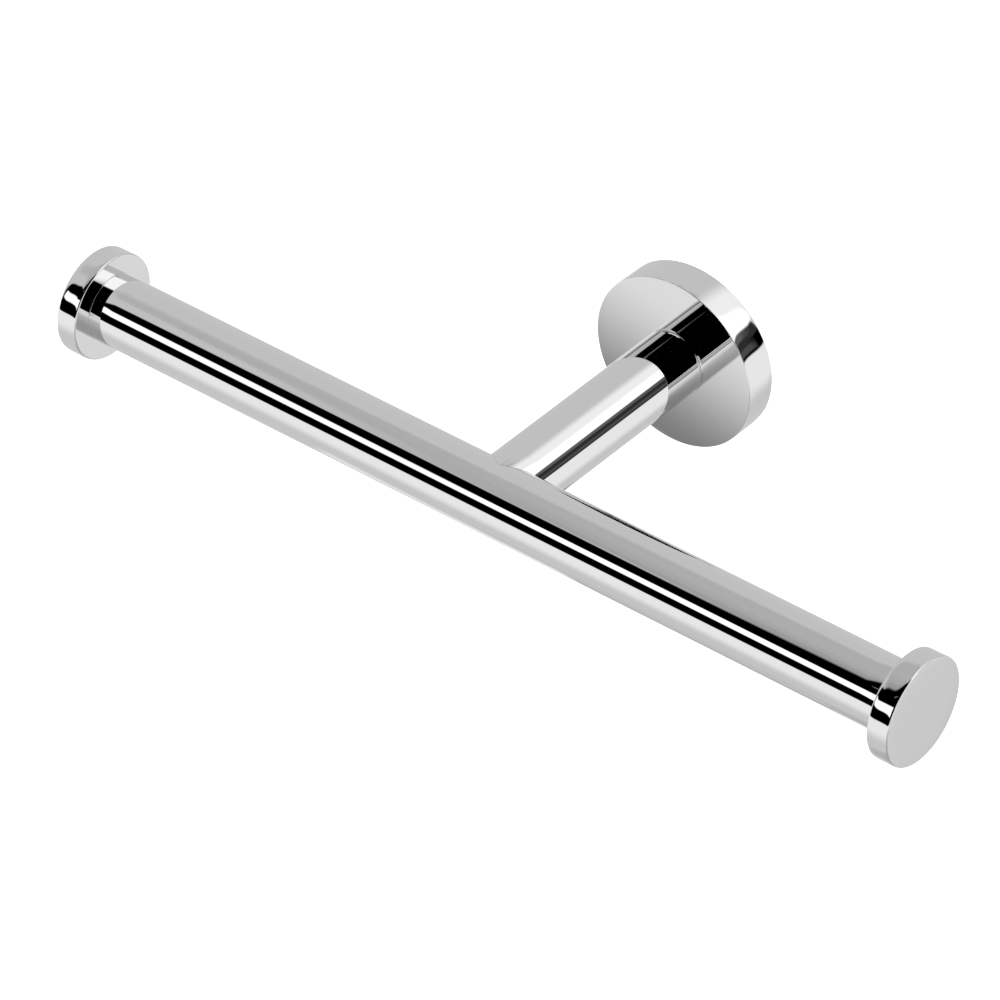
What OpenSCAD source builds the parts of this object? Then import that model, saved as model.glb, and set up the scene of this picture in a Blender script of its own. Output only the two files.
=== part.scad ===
// Double toilet roll holder for a wall: a straight bar on one arm, with a disc at each end of the bar.
// Millimetres. The origin is the centre of the rose on the wall, and the wall fills the +Y side.
// The arm runs along -Y, the bar lies along X, and +Z is up.

/* [Bar] */
// Outer diameter of the bar
bar_d = 20; // [16:0.5:26]
// Length of the bar between the two end caps
bar_len = 266; // [230:1:320]
// Wall of the bar's tube
bar_wall = 1.5; // [1:0.1:2.5]
// Distance from the wall to the bar's axis
bar_reach = 86; // [76:1:110]
// Length of the tapped core in the middle of the bar
core_len = 24; // [16:1:40]
// Length of the plug in each end of the bar
end_plug_len = 14; // [10:1:24]

/* [End caps] */
// Diameter of each end cap
cap_d = 31.2; // [28:0.2:38]
// Thickness of each end cap
cap_t = 6.6; // [5:0.2:10]
// Radius of the rounding on both edges of a cap
cap_edge_r = 0.5; // [0.2:0.1:1.2]
// Diameter of the stud that holds a cap
stud_d = 6; // [4:0.5:8]
// Length of the stud that holds a cap
stud_len = 14; // [10:1:16]
// Depth of the tapped hole in the inner face of a cap
cap_hole_depth = 4.4; // [3:0.2:4.8]
// Depth of the lead-in at the mouth of a tapped hole
tap_lead = 0.5; // [0.2:0.1:1]

/* [Arm] */
// Outer diameter of the arm
arm_d = 19.5; // [16.5:0.5:19.5]
// Wall of the arm's tube
arm_wall = 1.5; // [1:0.1:2]
// Radius of the rounding on the arm's edge at the rose
arm_edge_r = 0.4; // [0.2:0.1:0.8]
// Length of the plug in the arm at the rose
rear_plug_len = 12; // [8:1:20]
// Length of the plug in the arm at the bar, behind the bottom of its saddle
front_plug_len = 10; // [6:1:20]

/* [Wall rose] */
// Diameter of the rose
rose_d = 52; // [50:1:64]
// Depth of the rose from the wall to its face
rose_depth = 10; // [10:0.5:14]
// Thickness of the rose's side wall
rose_wall = 3.4; // [2.6:0.1:4]
// Thickness of the rose's face
rose_face_t = 2.6; // [2:0.1:2.8]
// Radius of the rounding on the front edge of the rose
rose_edge_r = 0.3; // [0.2:0.1:1.2]
// Radius of the rounding on the edge of the rose at the wall
rose_back_edge_r = 0.3; // [0.2:0.1:0.6]

/* [Wall plate] */
// Gap between the plate's rim and the rose
plate_gap = 0.3; // [0.2:0.05:0.6]
// Gap between the plate's rim and the inside of the rose's face
plate_front_gap = 1.2; // [0.6:0.1:2]
// Thickness of the plate against the wall
plate_base_t = 1.6; // [1.2:0.1:2]
// Thickness of the plate's rim
plate_rim_t = 2.7; // [2:0.1:3]
// Depth of the groove round the rim that the grub screw bears in
groove_depth = 0.9; // [0.5:0.1:1.2]
// Width of the groove at its mouth
groove_w = 2.6; // [1.6:0.1:3]
// Bevel on the outer front edge of the rim, which guides the rose on
rim_bevel = 0.5; // [0.2:0.1:0.8]
// Diameter of each of the two fixing holes
fixing_hole_d = 5; // [4:0.1:6]
// Distance between the two fixing holes, which are one above the other
fixing_spacing = 28; // [24:1:30]

/* [Grub screw] */
// Thread diameter of the grub screw
grub_d = 4; // [3:0.5:5]
// Width across flats of the grub screw's hex socket
grub_socket = 2; // [1.5:0.1:2.5]
// Depth of the grub screw's hex socket
grub_socket_depth = 1.6; // [1:0.1:2]
// Depth of the grub screw below the rose's surface
grub_recess = 0.4; // [0.2:0.1:0.8]

/* [Tie bolt] */
// Thread diameter of the tie bolt
bolt_d = 5; // [4:0.5:6]
// Diameter of the tie bolt's head
bolt_head_d = 9.5; // [8.5:0.1:10.5]
// Height of the tie bolt's head
bolt_head_h = 2.75; // [2.2:0.05:3]
// Width across flats of the tie bolt's hex socket
bolt_socket = 3; // [2.5:0.5:4]
// Depth of the tie bolt's hex socket
bolt_socket_depth = 1.6; // [1:0.1:1.8]
// Length of thread that the tie bolt has in the bar's core
bolt_engage = 8; // [6:0.5:11]
// Diameter of the flat washer
washer_d = 10; // [9.5:0.1:11]
// Thickness of the flat washer
washer_t = 1; // [0.8:0.1:1.2]
// Diameter of the spring washer
spring_d = 9.2; // [8.8:0.1:9.8]
// Thickness of the spring washer
spring_t = 1.2; // [1:0.1:1.4]
// Width of the split in the spring washer
spring_split = 0.9; // [0.5:0.1:1.5]

/* [Locating pin] */
// Diameter of the pin
pin_d = 2; // [1.5:0.1:2.2]
// Length of pin inside the arm's rear plug
pin_engage = 5; // [3:0.5:7]

/* [Hidden] */

// Gap between a pressed or screwed piece and its hole, on the radius
fit_gap = 0.05;
// Gap round the tie bolt in the pieces that it only passes through, on the radius
bolt_gap = 0.25;
// Gap left beyond the end of a screw or a pin in its blind hole
end_gap = 0.6;
// How far a cutting shape runs past the face that it cuts
overrun = 1;

bar_r = bar_d / 2;
bar_in_r = bar_r - bar_wall;
half_bar = bar_len / 2;
arm_r = arm_d / 2;
arm_in_r = arm_r - arm_wall;
cap_r = cap_d / 2;
rose_r = rose_d / 2;
rose_in_r = rose_r - rose_wall;
rose_hollow = rose_depth - rose_face_t;
plate_r = rose_in_r - plate_gap;
plate_depth = rose_hollow - plate_front_gap;
// The groove and the grub screw lie in the middle of the rim's plain length
grub_y = plate_depth / 2;
grub_tip_r = plate_r - groove_depth;
grub_head_r = rose_r - grub_recess;
// The pin stands half way between the washer's rim and the inside of the arm
pin_z = (washer_d / 2 + arm_in_r) / 2;
// Distance from the wall to the back of the bar's core, and to the tip of the tie bolt
core_back = bar_reach - bar_in_r + fit_gap;
bolt_tip = core_back + bolt_engage;
// Distance from the wall to the underside of the tie bolt's head
bolt_seat = rose_hollow - washer_t - spring_t;
stud_in_cap = cap_hole_depth - end_gap;
// Small bevels on turned plugs and screw ends
turned_bevel = 0.5;

polished = "gainsboro";
brass = "goldenrod";
plated = "lightsteelblue";
steel = "slategray";

$fn = 96;

// A body of revolution about Y: the outline's x is the radius and its y the distance from the wall
module turned_out() {
    rotate([90, 0, 0]) rotate_extrude() children();
}

// A body of revolution about X: the outline's x is the radius and its y the distance along +X
module turned_along() {
    rotate([0, 90, 0]) rotate_extrude() children();
}

// A straight round bar along -Y from one distance from the wall to another
module rod_out(r, from, to) {
    translate([0, -from, 0]) rotate([90, 0, 0]) cylinder(r = r, h = to - from);
}

// The outline of half a disc, with its two outer corners rounded
module disc_outline(r, t, low_r, high_r) {
    square([r - max(low_r, high_r), t]);
    translate([0, low_r]) square([r, t - low_r - high_r]);
    square([r - low_r, low_r]);
    translate([0, t - high_r]) square([r - high_r, high_r]);
    translate([r - low_r, low_r]) circle(r = low_r);
    translate([r - high_r, t - high_r]) circle(r = high_r);
}

// The outline of half a rod with bevelled ends
module bevelled_outline(r, t, bevel) {
    polygon([[0, 0], [r - bevel, 0], [r, bevel], [r, t - bevel], [r - bevel, t], [0, t]]);
}

// A hexagonal prism given by its width across flats
module hex_key(width, depth) {
    cylinder(d = width / cos(30), h = depth, $fn = 6);
}

// The bar's outer surface with the clearance of the coped seat
module saddle_cutter() {
    translate([-arm_d, -bar_reach, 0]) rotate([0, 90, 0])
        cylinder(r = bar_r + fit_gap, h = 2 * arm_d);
}

module wall_rose() {
    color(polished) difference() {
        turned_out() disc_outline(rose_r, rose_depth, rose_back_edge_r, rose_edge_r);
        rod_out(rose_in_r, -overrun, rose_hollow);
        rod_out(bolt_d / 2 + bolt_gap, -overrun, rose_depth + overrun);
        translate([0, 0, pin_z]) rod_out(pin_d / 2 + fit_gap, -overrun, rose_depth + overrun);
        translate([0, -grub_y, -rose_r - overrun]) cylinder(r = grub_d / 2 + fit_gap, h = rose_wall + 2 * overrun);
    }
}

module wall_plate() {
    color(plated) difference() {
        turned_out() polygon([
            [0, 0], [plate_r, 0],
            [plate_r, grub_y - groove_w / 2], [grub_tip_r, grub_y], [plate_r, grub_y + groove_w / 2],
            [plate_r, plate_depth - rim_bevel], [plate_r - rim_bevel, plate_depth],
            [plate_r - plate_rim_t, plate_depth], [plate_r - plate_rim_t, plate_base_t], [0, plate_base_t]]);
        for (side = [-1, 1])
            translate([0, 0, side * fixing_spacing / 2])
                rod_out(fixing_hole_d / 2, -overrun, plate_base_t + overrun);
    }
}

module rose_grub_screw() {
    cone_h = groove_depth;
    color(steel) translate([0, -grub_y, -grub_head_r]) difference() {
        rotate_extrude() polygon([
            [0, 0], [grub_d / 2, 0], [grub_d / 2, grub_head_r - grub_tip_r - cone_h],
            [grub_d / 2 - cone_h, grub_head_r - grub_tip_r], [0, grub_head_r - grub_tip_r]]);
        translate([0, 0, -overrun]) hex_key(grub_socket, grub_socket_depth + overrun);
    }
}

module arm_tube() {
    color(polished) difference() {
        // The saddle cuts the rounding at the other end away
        translate([0, -rose_depth, 0]) turned_out()
            disc_outline(arm_r, bar_reach - rose_depth, arm_edge_r, arm_edge_r);
        rod_out(arm_in_r, rose_depth - overrun, bar_reach + overrun);
        saddle_cutter();
    }
}

module arm_rear_plug() {
    color(brass) difference() {
        translate([0, -rose_depth, 0]) turned_out()
            bevelled_outline(arm_in_r - fit_gap, rear_plug_len, turned_bevel);
        rod_out(bolt_d / 2 + bolt_gap, rose_depth - overrun, rose_depth + rear_plug_len + overrun);
        translate([0, 0, pin_z])
            rod_out(pin_d / 2 + fit_gap, rose_depth - overrun, rose_depth + pin_engage + end_gap);
    }
}

module arm_front_plug() {
    back = bar_reach - bar_r - front_plug_len;
    color(brass) difference() {
        translate([0, -back, 0]) turned_out()
            bevelled_outline(arm_in_r - fit_gap, bar_reach - back, turned_bevel);
        rod_out(bolt_d / 2 + bolt_gap, back - overrun, bar_reach + overrun);
        saddle_cutter();
    }
}

module locating_pin() {
    color(steel) translate([0, -rose_hollow, pin_z]) turned_out()
        bevelled_outline(pin_d / 2, rose_face_t + pin_engage, pin_d / 8);
}

module tie_bolt() {
    shank = bolt_tip - bolt_seat;
    color(steel) difference() {
        union() {
            translate([0, -bolt_seat, 0]) turned_out()
                bevelled_outline(bolt_d / 2, shank, turned_bevel);
            // The domed head, which stands towards the wall
            intersection() {
                rod_out(bolt_head_d / 2, bolt_seat - bolt_head_h, bolt_seat);
                translate([0, -bolt_seat - bolt_head_d / 2 + bolt_head_h, 0])
                    sphere(d = bolt_head_d + bolt_head_h / 2);
            }
        }
        translate([0, -bolt_seat + bolt_head_h + overrun, 0]) rotate([90, 0, 0])
            hex_key(bolt_socket, bolt_socket_depth + overrun);
    }
}

module spring_washer() {
    color(steel) difference() {
        rod_out(spring_d / 2, rose_hollow - washer_t - spring_t, rose_hollow - washer_t);
        rod_out(bolt_d / 2 + bolt_gap, -overrun, rose_hollow + overrun);
        // The split is cut at a slant, as on the real washer
        translate([spring_d / 2, -rose_hollow + washer_t + spring_t / 2, 0]) rotate([30, 0, 0])
            cube([spring_d, spring_d, spring_split], center = true);
    }
}

module flat_washer() {
    color(plated) difference() {
        rod_out(washer_d / 2, rose_hollow - washer_t, rose_hollow);
        rod_out(bolt_d / 2 + bolt_gap, -overrun, rose_hollow + overrun);
    }
}

module bar_tube() {
    color(polished) translate([0, -bar_reach, 0]) difference() {
        translate([-half_bar, 0, 0]) turned_along() square([bar_r, bar_len]);
        translate([-half_bar - overrun, 0, 0]) turned_along() square([bar_in_r, bar_len + 2 * overrun]);
        translate([0, bar_r + overrun, 0]) rod_out(bolt_d / 2 + bolt_gap, 0, bar_r + overrun);
    }
}

module bar_core() {
    color(brass) translate([0, -bar_reach, 0]) difference() {
        translate([-core_len / 2, 0, 0]) turned_along()
            bevelled_outline(bar_in_r - fit_gap, core_len, turned_bevel);
        translate([0, bar_r, 0])
            rod_out(bolt_d / 2 + fit_gap, 0, bar_r + bolt_tip + end_gap - bar_reach);
    }
}

// A tapped plug in the bar's end at +X
module end_plug() {
    color(brass) translate([half_bar - end_plug_len, -bar_reach, 0]) turned_along() difference() {
        bevelled_outline(bar_in_r - fit_gap, end_plug_len, turned_bevel);
        translate([0, -overrun]) square([stud_d / 2 + fit_gap, end_plug_len + 2 * overrun]);
    }
}

// A stud that reaches from the cap at +X into the plug
module cap_stud() {
    color(steel) translate([half_bar + stud_in_cap - stud_len, -bar_reach, 0]) turned_along()
        bevelled_outline(stud_d / 2, stud_len, turned_bevel);
}

// The end cap at +X
module end_cap() {
    tap_r = stud_d / 2 + fit_gap;
    color(polished) translate([half_bar, -bar_reach, 0]) turned_along() difference() {
        disc_outline(cap_r, cap_t, cap_edge_r, cap_edge_r);
        translate([0, -overrun]) square([tap_r, cap_hole_depth + overrun]);
        polygon([[0, -overrun], [tap_r + tap_lead + overrun, -overrun], [tap_r, tap_lead], [0, tap_lead]]);
    }
}

module left_end_plug() {
    mirror([1, 0, 0]) end_plug();
}

module left_cap_stud() {
    mirror([1, 0, 0]) cap_stud();
}

module left_end_cap() {
    mirror([1, 0, 0]) end_cap();
}

module right_end_plug() {
    end_plug();
}

module right_cap_stud() {
    cap_stud();
}

module right_end_cap() {
    end_cap();
}

wall_rose();
wall_plate();
rose_grub_screw();
arm_tube();
arm_rear_plug();
arm_front_plug();
locating_pin();
tie_bolt();
spring_washer();
flat_washer();
bar_tube();
bar_core();
left_end_plug();
left_cap_stud();
left_end_cap();
right_end_plug();
right_cap_stud();
right_end_cap();
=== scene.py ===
"""Looks of the double toilet roll holder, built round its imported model.

The pieces that show are turned and coped surfaces, worked out here as grids of points from the sizes of
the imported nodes, and they stand for those nodes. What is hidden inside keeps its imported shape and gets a
finish. Lengths in fields are millimetres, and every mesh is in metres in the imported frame: the wall is the
plane y = 0, the arm runs along -Y, the bar lies along X and +Z is up.
"""

import logging
import math
from dataclasses import dataclass, field
from enum import Enum
from typing import Any, Callable, Sequence

import bmesh
import bpy
import numpy as np
from bpy.types import Camera, Material, Mesh, Node, NodeSocket, NodeTree, Object, World
from mathutils import Matrix, Vector
from numpy.typing import ArrayLike


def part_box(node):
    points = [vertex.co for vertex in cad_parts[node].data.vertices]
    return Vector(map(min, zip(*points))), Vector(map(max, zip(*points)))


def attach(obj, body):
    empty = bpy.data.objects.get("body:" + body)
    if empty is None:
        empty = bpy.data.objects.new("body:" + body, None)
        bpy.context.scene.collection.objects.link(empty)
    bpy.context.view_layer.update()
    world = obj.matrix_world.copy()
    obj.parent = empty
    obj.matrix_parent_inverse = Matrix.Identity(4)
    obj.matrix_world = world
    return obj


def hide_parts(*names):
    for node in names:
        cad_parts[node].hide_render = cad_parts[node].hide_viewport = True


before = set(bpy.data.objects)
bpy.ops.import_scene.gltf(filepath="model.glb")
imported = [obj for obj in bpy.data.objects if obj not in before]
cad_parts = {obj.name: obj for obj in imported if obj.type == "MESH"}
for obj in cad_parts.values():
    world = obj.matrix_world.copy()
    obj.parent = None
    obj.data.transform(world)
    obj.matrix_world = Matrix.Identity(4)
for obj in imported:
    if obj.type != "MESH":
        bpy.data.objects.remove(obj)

logging.basicConfig(level=logging.INFO, format="%(message)s")
log = logging.getLogger("roll_holder")

MM = 0.001
WHITE = (1.0, 1.0, 1.0, 1.0)

# The numbers of the coordinates.
X, Y, Z = 0, 1, 2

# The sRGB curve is straight up to its knee, and above it a power of the shifted value.
SRGB_KNEE = 0.04045
SRGB_SLOPE = 12.92
SRGB_SHIFT = 0.055
SRGB_POWER = 2.4

# A turned sheet has a column for each degree. A rounded edge has these steps.
TURN_STEPS = 360
ROUND_STEPS = 8

# Columns of a turned sheet, in degrees from its seam. The seam is at the right of a piece that is turned
# out of the wall, and at the front of the bar.
ABOVE = 90
AT_THE_BACK = 180
BELOW = 270

# Points that are nearer than this, in millimetres, are one point.
MERGE_WITHIN = 0.0005

# A flat face has points this near to the rounding that follows it, in millimetres, so that it shades flat.
NEAR_THE_EDGE = 0.03

# Faces that turn by more than this, in degrees, meet in a sharp edge.
SHARP_ANGLE = 30.0

# How far a tube's bore stands off from the plugs in it, in millimetres.
PLUG_CLEARANCE = 0.05

Lift = Callable[[np.ndarray], np.ndarray]


class Slot(Enum):
    """The record's names for the finishes of the pieces that are made here."""

    CHROME = "chrome"
    ZINC = "zinc_plated_steel"


class Turning(Enum):
    """The axis that a turned piece was turned about, as the number of its coordinate."""

    ALONG_THE_BAR = X
    OUT_OF_THE_WALL = Y


def node_span(node: str) -> tuple[np.ndarray, np.ndarray]:
    """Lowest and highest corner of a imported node, in millimetres."""
    low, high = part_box(node)
    return np.array(low) / MM, np.array(high) / MM


def node_radius(node: str, turning: Turning) -> float:
    """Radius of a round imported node, in millimetres: half of its larger extent across its axis."""
    low, high = node_span(node)
    return float(np.delete(high - low, turning.value).max() / 2)


def node_reach(node: str) -> np.ndarray:
    """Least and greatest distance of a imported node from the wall, in millimetres."""
    low, high = node_span(node)
    return np.array([-high[Y], -low[Y]])


def measured(measure: Callable[[], float]) -> Any:
    """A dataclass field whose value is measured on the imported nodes."""
    return field(default_factory=measure)


def linear_colour(hex_colour: str) -> tuple[float, float, float, float]:
    """Turns a colour that is written in sRGB into a linear one.

    A channel c becomes c / slope up to the knee, and ((c + shift) / (1 + shift))^power above it.

    Args:
        hex_colour: The colour, such as #c0c4c8.

    Returns:
        Linear red, green and blue, and an alpha of 1.
    """
    channels = [value / 255 for value in bytes.fromhex(hex_colour[1:])]
    linear = [c / SRGB_SLOPE if c <= SRGB_KNEE else ((c + SRGB_SHIFT) / (1 + SRGB_SHIFT)) ** SRGB_POWER
              for c in channels]
    return linear[0], linear[1], linear[2], 1.0


def add_object(name: str, data: Mesh | Camera) -> Object:
    """Puts a mesh or a camera into the scene.

    Args:
        name: The object's name.
        data: The mesh or the camera.

    Returns:
        The object, at the origin.
    """
    made = bpy.data.objects.new(name, data)
    bpy.context.scene.collection.objects.link(made)
    return made


def add_node(tree: NodeTree, kind: str, values: dict[Any, Any] | None = None,
             links: dict[Any, NodeSocket] | None = None, **settings: Any) -> Node:
    """Adds a shader node.

    Args:
        tree: The node tree that it goes into.
        kind: Blender's name of the node's type.
        values: Constants for its inputs, by the input's name or number.
        links: Sockets to link to its inputs, by the input's name or number.
        **settings: The node's own properties.

    Returns:
        The new node.
    """
    node = tree.nodes.new(kind)
    for name, value in settings.items():
        setattr(node, name, value)
    for key, value in (values or {}).items():
        node.inputs[key].default_value = value
    for key, source in (links or {}).items():
        tree.links.new(source, node.inputs[key])
    return node


def blank_material(name: str) -> Material:
    """Makes a material without any nodes yet.

    Args:
        name: The material's name.

    Returns:
        The material, with an empty node tree.
    """
    material = bpy.data.materials.new(name)
    material.use_nodes = True
    material.node_tree.nodes.clear()
    return material


def finish_metal(tree: NodeTree, uneven: NodeSocket, roughness: tuple[float, float], relief: NodeSocket,
                 height: float) -> NodeSocket:
    """Adds a metal's surface to its material.

    Args:
        tree: The material's node tree.
        uneven: The pattern that the roughness follows.
        roughness: The roughness where that pattern is 0 and where it is 1.
        relief: The pattern that the surface rises and falls with.
        height: How high it rises, in millimetres.

    Returns:
        The socket of the metal's colour.
    """
    rough = add_node(tree, "ShaderNodeMapRange", {"To Min": roughness[0], "To Max": roughness[1]},
                     {"Value": uneven})
    bump = add_node(tree, "ShaderNodeBump", {"Strength": 1.0, "Distance": height * MM},
                    {"Height": relief})
    shader = add_node(tree, "ShaderNodeBsdfPrincipled", {"Metallic": 1.0},
                      {"Roughness": rough.outputs[0], "Normal": bump.outputs[0]})
    add_node(tree, "ShaderNodeOutputMaterial", links={"Surface": shader.outputs[0]})
    return shader.inputs["Base Color"]


@dataclass(frozen=True)
class BrightChrome:
    """Chromium plated over nickel on brass that was buffed to a mirror first.

    It gives the eye a clean, neutral mirror. Buffing leaves it a little uneven, so reflections waver
    slightly and their edges are soft by a hair.
    """

    name: str = "bright_chrome_on_buffed_brass"
    colour: str = "#eaeaea"
    roughness: tuple[float, float] = (0.01, 0.02)
    buffing_width: float = 9.0
    buffing_detail: float = 3.0
    ripple_width: float = 5.0
    ripple_detail: float = 1.0
    ripple_height: float = 0.0006

    def material(self) -> Material:
        """Builds the material.

        Returns:
            Metal whose roughness drifts over the width of a buffing pass, with a faint ripple.
        """
        material = blank_material(self.name)
        tree = material.node_tree
        place = add_node(tree, "ShaderNodeTexCoord").outputs["Object"]
        buffing = add_node(tree, "ShaderNodeTexNoise",
                           {"Scale": 1 / (self.buffing_width * MM), "Detail": self.buffing_detail},
                           {"Vector": place})
        ripple = add_node(tree, "ShaderNodeTexNoise",
                          {"Scale": 1 / (self.ripple_width * MM), "Detail": self.ripple_detail},
                          {"Vector": place})
        colour = finish_metal(tree, buffing.outputs[0], self.roughness, ripple.outputs[0],
                              self.ripple_height)
        colour.default_value = linear_colour(self.colour)
        return material


@dataclass(frozen=True)
class TurnedMetal:
    """A metal as it leaves the lathe, with fine rings round the axis that it was turned about.

    It gives the eye a soft sheen that stretches across the rings. The rings are drawn wider than those of a
    fine cut, which would be too fine to show.
    """

    metal: str
    colour: str
    worn_colour: str
    turning: Turning
    ring_width: float = 0.35
    ring_detail: float = 4.0
    ring_height: float = 0.004
    rings_are_longer: float = 40.0
    roughness: tuple[float, float] = (0.22, 0.38)

    def material(self) -> Material:
        """Builds the material.

        Returns:
            Metal with rings from noise that varies quickly along the axis and slowly across it.
        """
        material = blank_material(f"turned_{self.metal}_{self.turning.name.lower()}")
        tree = material.node_tree
        place = add_node(tree, "ShaderNodeTexCoord").outputs["Object"]
        along = 1 / (self.ring_width * MM)
        scale = np.full(3, along / self.rings_are_longer)
        scale[self.turning.value] = along
        rings_at = add_node(tree, "ShaderNodeMapping", {"Scale": scale}, {"Vector": place})
        rings = add_node(tree, "ShaderNodeTexNoise", {"Scale": 1.0, "Detail": self.ring_detail},
                         {"Vector": rings_at.outputs[0]})
        tone = add_node(tree, "ShaderNodeMixRGB",
                        {"Color1": linear_colour(self.colour),
                         "Color2": linear_colour(self.worn_colour)},
                        {"Fac": rings.outputs[0]})
        colour = finish_metal(tree, rings.outputs[0], self.roughness, rings.outputs[0],
                              self.ring_height)
        tree.links.new(tone.outputs[0], colour)
        return material


@dataclass(frozen=True)
class ZincPlate:
    """Clear passivated zinc on pressed steel.

    It gives the eye a dull bluish grey with cloudy patches and the fine grain of the rolled sheet. The grain
    is drawn coarser than the real one, which would be too fine to show.
    """

    name: str = "clear_zinc_plate_on_pressed_steel"
    colour: str = "#b9bfc7"
    cloudy_colour: str = "#a3abb6"
    patch_width: float = 4.0
    patch_detail: float = 4.0
    grain_width: float = 0.3
    grain_detail: float = 2.0
    grain_height: float = 0.006
    roughness: tuple[float, float] = (0.32, 0.5)

    def material(self) -> Material:
        """Builds the material.

        Returns:
            Metal that is cloudy in patches, with the grain of rolled sheet.
        """
        material = blank_material(self.name)
        tree = material.node_tree
        place = add_node(tree, "ShaderNodeTexCoord").outputs["Object"]
        patches = add_node(tree, "ShaderNodeTexNoise",
                           {"Scale": 1 / (self.patch_width * MM), "Detail": self.patch_detail},
                           {"Vector": place})
        tone = add_node(tree, "ShaderNodeMixRGB",
                        {"Color1": linear_colour(self.colour),
                         "Color2": linear_colour(self.cloudy_colour)},
                        {"Fac": patches.outputs[0]})
        grain = add_node(tree, "ShaderNodeTexNoise",
                         {"Scale": 1 / (self.grain_width * MM), "Detail": self.grain_detail},
                         {"Vector": place})
        colour = finish_metal(tree, patches.outputs[0], self.roughness, grain.outputs[0],
                              self.grain_height)
        tree.links.new(tone.outputs[0], colour)
        return material


@dataclass(frozen=True)
class Block:
    """A rectangle of a sheet, as a slice of its rows and one of its columns."""

    rows: slice
    columns: slice

    def faces(self) -> tuple[slice, slice]:
        """The same rectangle in the grid of the sheet's faces."""
        return tuple(slice(points.start, points.stop - 1) for points in (self.rows, self.columns))

    def edge(self, sheet: np.ndarray, rows_reversed: bool = False) -> np.ndarray:
        """Goes round the block.

        Args:
            sheet: The sheet.
            rows_reversed: Whether to start from the block's last row.

        Returns:
            The points on the block's edge, once round and back to the first.
        """
        block = sheet[self.rows, self.columns]
        if rows_reversed:
            block = block[::-1]
        return np.concatenate([block[0, :-1], block[:-1, -1], block[-1, :0:-1], block[::-1, 0]])


@dataclass(frozen=True)
class Opening:
    """How a turned sheet makes room for a round hole.

    It has rows at these multiples of the hole's radius from the hole's middle. The block between the
    first and the last of them is left open, to this many columns on each side of the middle.
    """

    rows: tuple[float, ...]
    columns: int

    def places(self, middle: float, radius: float) -> np.ndarray:
        """Where the rows lie, for a hole with that middle and radius."""
        return middle + radius * np.array(self.rows)

    def block(self, first_row: int, column: int) -> Block:
        """The open block, from the number of its first row and that of its middle column."""
        return Block(slice(first_row, first_row + len(self.rows)),
                     slice(column - self.columns, column + self.columns + 1))


@dataclass(frozen=True)
class Bore:
    """A round hole through a wall, along the coordinate that its axes lack.

    The wall's outer and inner face each have an open block round it, and a lift that puts points with the
    other two coordinates onto the face. The gaps that are left have rings of points at these shares of the
    way from the hole to the block's edge.
    """

    axes: tuple[int, int]
    centre: tuple[float, float]
    radius: float
    outer: tuple[Block, Lift]
    inner: tuple[Block, Lift]
    bevel: float = 0.0
    rings: tuple[float, ...] = (0.0, 0.05, 0.15, 0.4, 1.0)

    def sheets(self, wall: np.ndarray) -> list[np.ndarray]:
        """Fills the open blocks, all but the hole, and lines the hole.

        Across a block a point runs in a straight line from the hole's circle to the block's edge, and the
        lift puts it back on the face.

        Args:
            wall: The sheet that both blocks are in. The inner one's rows run against the outer one's.

        Returns:
            The sheets of the outer face, the inner face and the lining.
        """
        axes = list(self.axes)
        depth = ({X, Y, Z} - set(axes)).pop()
        edges = [self.outer[0].edge(wall), self.inner[0].edge(wall, rows_reversed=True)]
        spoke = edges[0][:, axes] - self.centre
        spoke = spoke / np.linalg.norm(spoke, axis=1, keepdims=True)
        share = np.array(self.rings)[:, None, None]
        made = []
        for edge, lift, radius in ((edges[0], self.outer[1], self.radius + self.bevel),
                                   (edges[1], self.inner[1], self.radius)):
            circle = self.centre + spoke * radius
            made.append(lift(circle + (edge[:, axes] - circle) * share))
        mouth, end = made[0][0], made[1][0]
        throat = end.copy()
        throat[:, depth] = mouth[:, depth] + self.bevel * np.sign(end[:, depth] - mouth[:, depth])
        return [*made, np.stack([mouth, throat, end])]


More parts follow.
